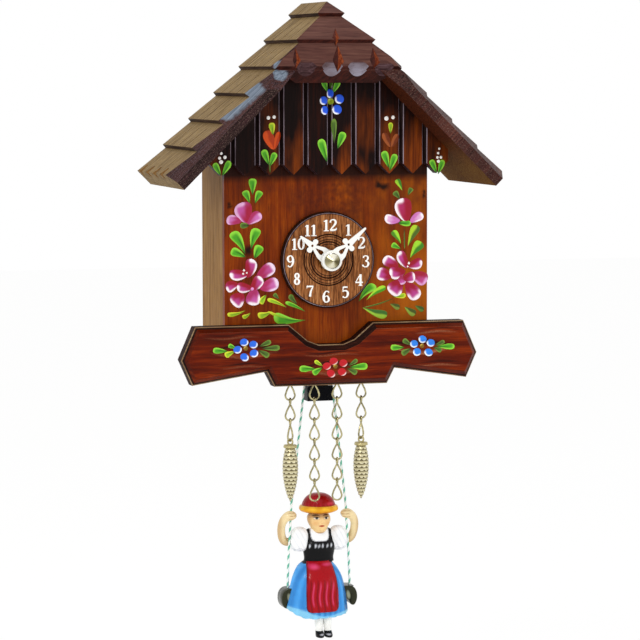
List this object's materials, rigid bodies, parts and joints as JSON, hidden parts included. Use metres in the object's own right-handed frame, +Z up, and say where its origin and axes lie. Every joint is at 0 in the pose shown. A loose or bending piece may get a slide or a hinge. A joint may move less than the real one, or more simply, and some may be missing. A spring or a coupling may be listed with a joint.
{
  "type": "wall clock",
  "caption": "Miniature chalet wall clock with a stepped shingle roof, painted flowers, hanging chains with cone weights and a doll on a corded swing",
  "frame": {"origin": "centre of the hanging hole, in the back face that lies on the wall", "axes": "+X to the right seen from the front, +Y backwards into the wall, +Z up"},
  "size_m": [0.1358, 0.0584, 0.2539],
  "materials": {
    "panel_wood": "satin",
    "house_wood": "satin",
    "slat_wood": "satin",
    "shingle_wood": "matte",
    "hip_wood": "matte",
    "board_wood": "gloss",
    "dial_wood": "gloss",
    "plain_brass": "satin",
    "pale_brass": "satin",
    "cone_gold": "satin",
    "hand_white": "gloss",
    "case_black": "matte",
    "gear_white": "satin",
    "coil_wire": "gloss",
    "board_green": "satin",
    "cell_steel": "satin",
    "cord_weave": "matte",
    "seat_paint": "gloss",
    "hat_red": "gloss",
    "skin": "satin",
    "bodice_black": "gloss",
    "blouse_white": "gloss",
    "skirt_blue": "gloss",
    "apron_red": "gloss"
  },
  "bodies": {
    "house": {"front_panel": "panel_wood", "side_wall_left": "house_wood", "side_wall_right": "house_wood", "floor_board": "house_wood", "back_panel": "house_wood", "gable_board": "slat_wood", "roof_left": "shingle_wood", "roof_right": "shingle_wood", "roof_hip": "hip_wood", "base_board": "board_wood", "dial": "dial_wood", "bush_nut": "plain_brass", "movement_case": "case_black", "movement_cover": "case_black", "step_coil": "coil_wire", "circuit_board": "board_green", "battery": "cell_steel", "battery_contacts": "cell_steel", "swing_frame": "case_black", "frame_screws": "plain_brass", "swing_pin": "cell_steel", "drive_coil": "coil_wire", "chain_staples": "pale_brass"},
    "minute": {"minute_arbor": "plain_brass", "minute_hand": "hand_white", "hand_nut": "pale_brass"},
    "hour": {"hour_wheel": "gear_white", "hour_hand": "hand_white"},
    "setting": {"setting_wheel": "gear_white", "setting_knob": "case_black"},
    "swing": {"swing_rocker": "case_black", "drive_magnet": "cell_steel", "swing_cord_left": "cord_weave", "swing_cord_right": "cord_weave", "swing_seat": "seat_paint", "doll_hat": "hat_red", "doll_head": "skin", "doll_torso": "bodice_black", "doll_sleeve_left": "blouse_white", "doll_sleeve_right": "blouse_white", "doll_arm_left": "skin", "doll_arm_right": "skin", "doll_skirt": "skirt_blue", "doll_apron": "apron_red", "doll_legs": "blouse_white", "doll_shoes": "bodice_black"},
    "chain_ol": {"chain_outer_left": "pale_brass", "cone_weight_left": "cone_gold"},
    "chain_il": {"chain_inner_left": "pale_brass"},
    "chain_ir": {"chain_inner_right": "pale_brass"},
    "chain_or": {"chain_outer_right": "pale_brass", "cone_weight_right": "cone_gold"}
  },
  "joints": [
    {"name": "minute_turn", "type": "hinge", "parent": "house", "child": "minute", "pos_m": [0, -0.036, -0.068], "axis": [0, 1, 0], "continuous": true},
    {"name": "hour_turn", "type": "hinge", "parent": "house", "child": "hour", "pos_m": [0, -0.036, -0.068], "axis": [0, 1, 0], "continuous": true},
    {"name": "setting_turn", "type": "hinge", "parent": "house", "child": "setting", "pos_m": [0, -0.02, -0.058], "axis": [0, 1, 0], "continuous": true},
    {"name": "swing_hinge", "type": "hinge", "parent": "house", "child": "swing", "pos_m": [0, -0.0236, -0.1025], "axis": [1, 0, 0], "range_deg": [-5, 5]},
    {"name": "chain_hinge_outer_left", "type": "hinge", "parent": "house", "child": "chain_ol", "pos_m": [-0.0146, -0.0342, -0.1153], "axis": [1, 0, 0], "range_deg": [-10, 10]},
    {"name": "chain_hinge_inner_left", "type": "hinge", "parent": "house", "child": "chain_il", "pos_m": [-0.00465, -0.0342, -0.1153], "axis": [1, 0, 0], "range_deg": [-10, 5]},
    {"name": "chain_hinge_inner_right", "type": "hinge", "parent": "house", "child": "chain_ir", "pos_m": [0.00465, -0.0342, -0.1153], "axis": [1, 0, 0], "range_deg": [-10, 5]},
    {"name": "chain_hinge_outer_right", "type": "hinge", "parent": "house", "child": "chain_or", "pos_m": [0.0146, -0.0342, -0.1153], "axis": [1, 0, 0], "range_deg": [-10, 10]}
  ],
  "couplings": [
    {"joint": "hour_turn", "follows": "minute_turn", "ratio": 0.083333},
    {"joint": "setting_turn", "follows": "minute_turn", "ratio": -0.33333}
  ]
}
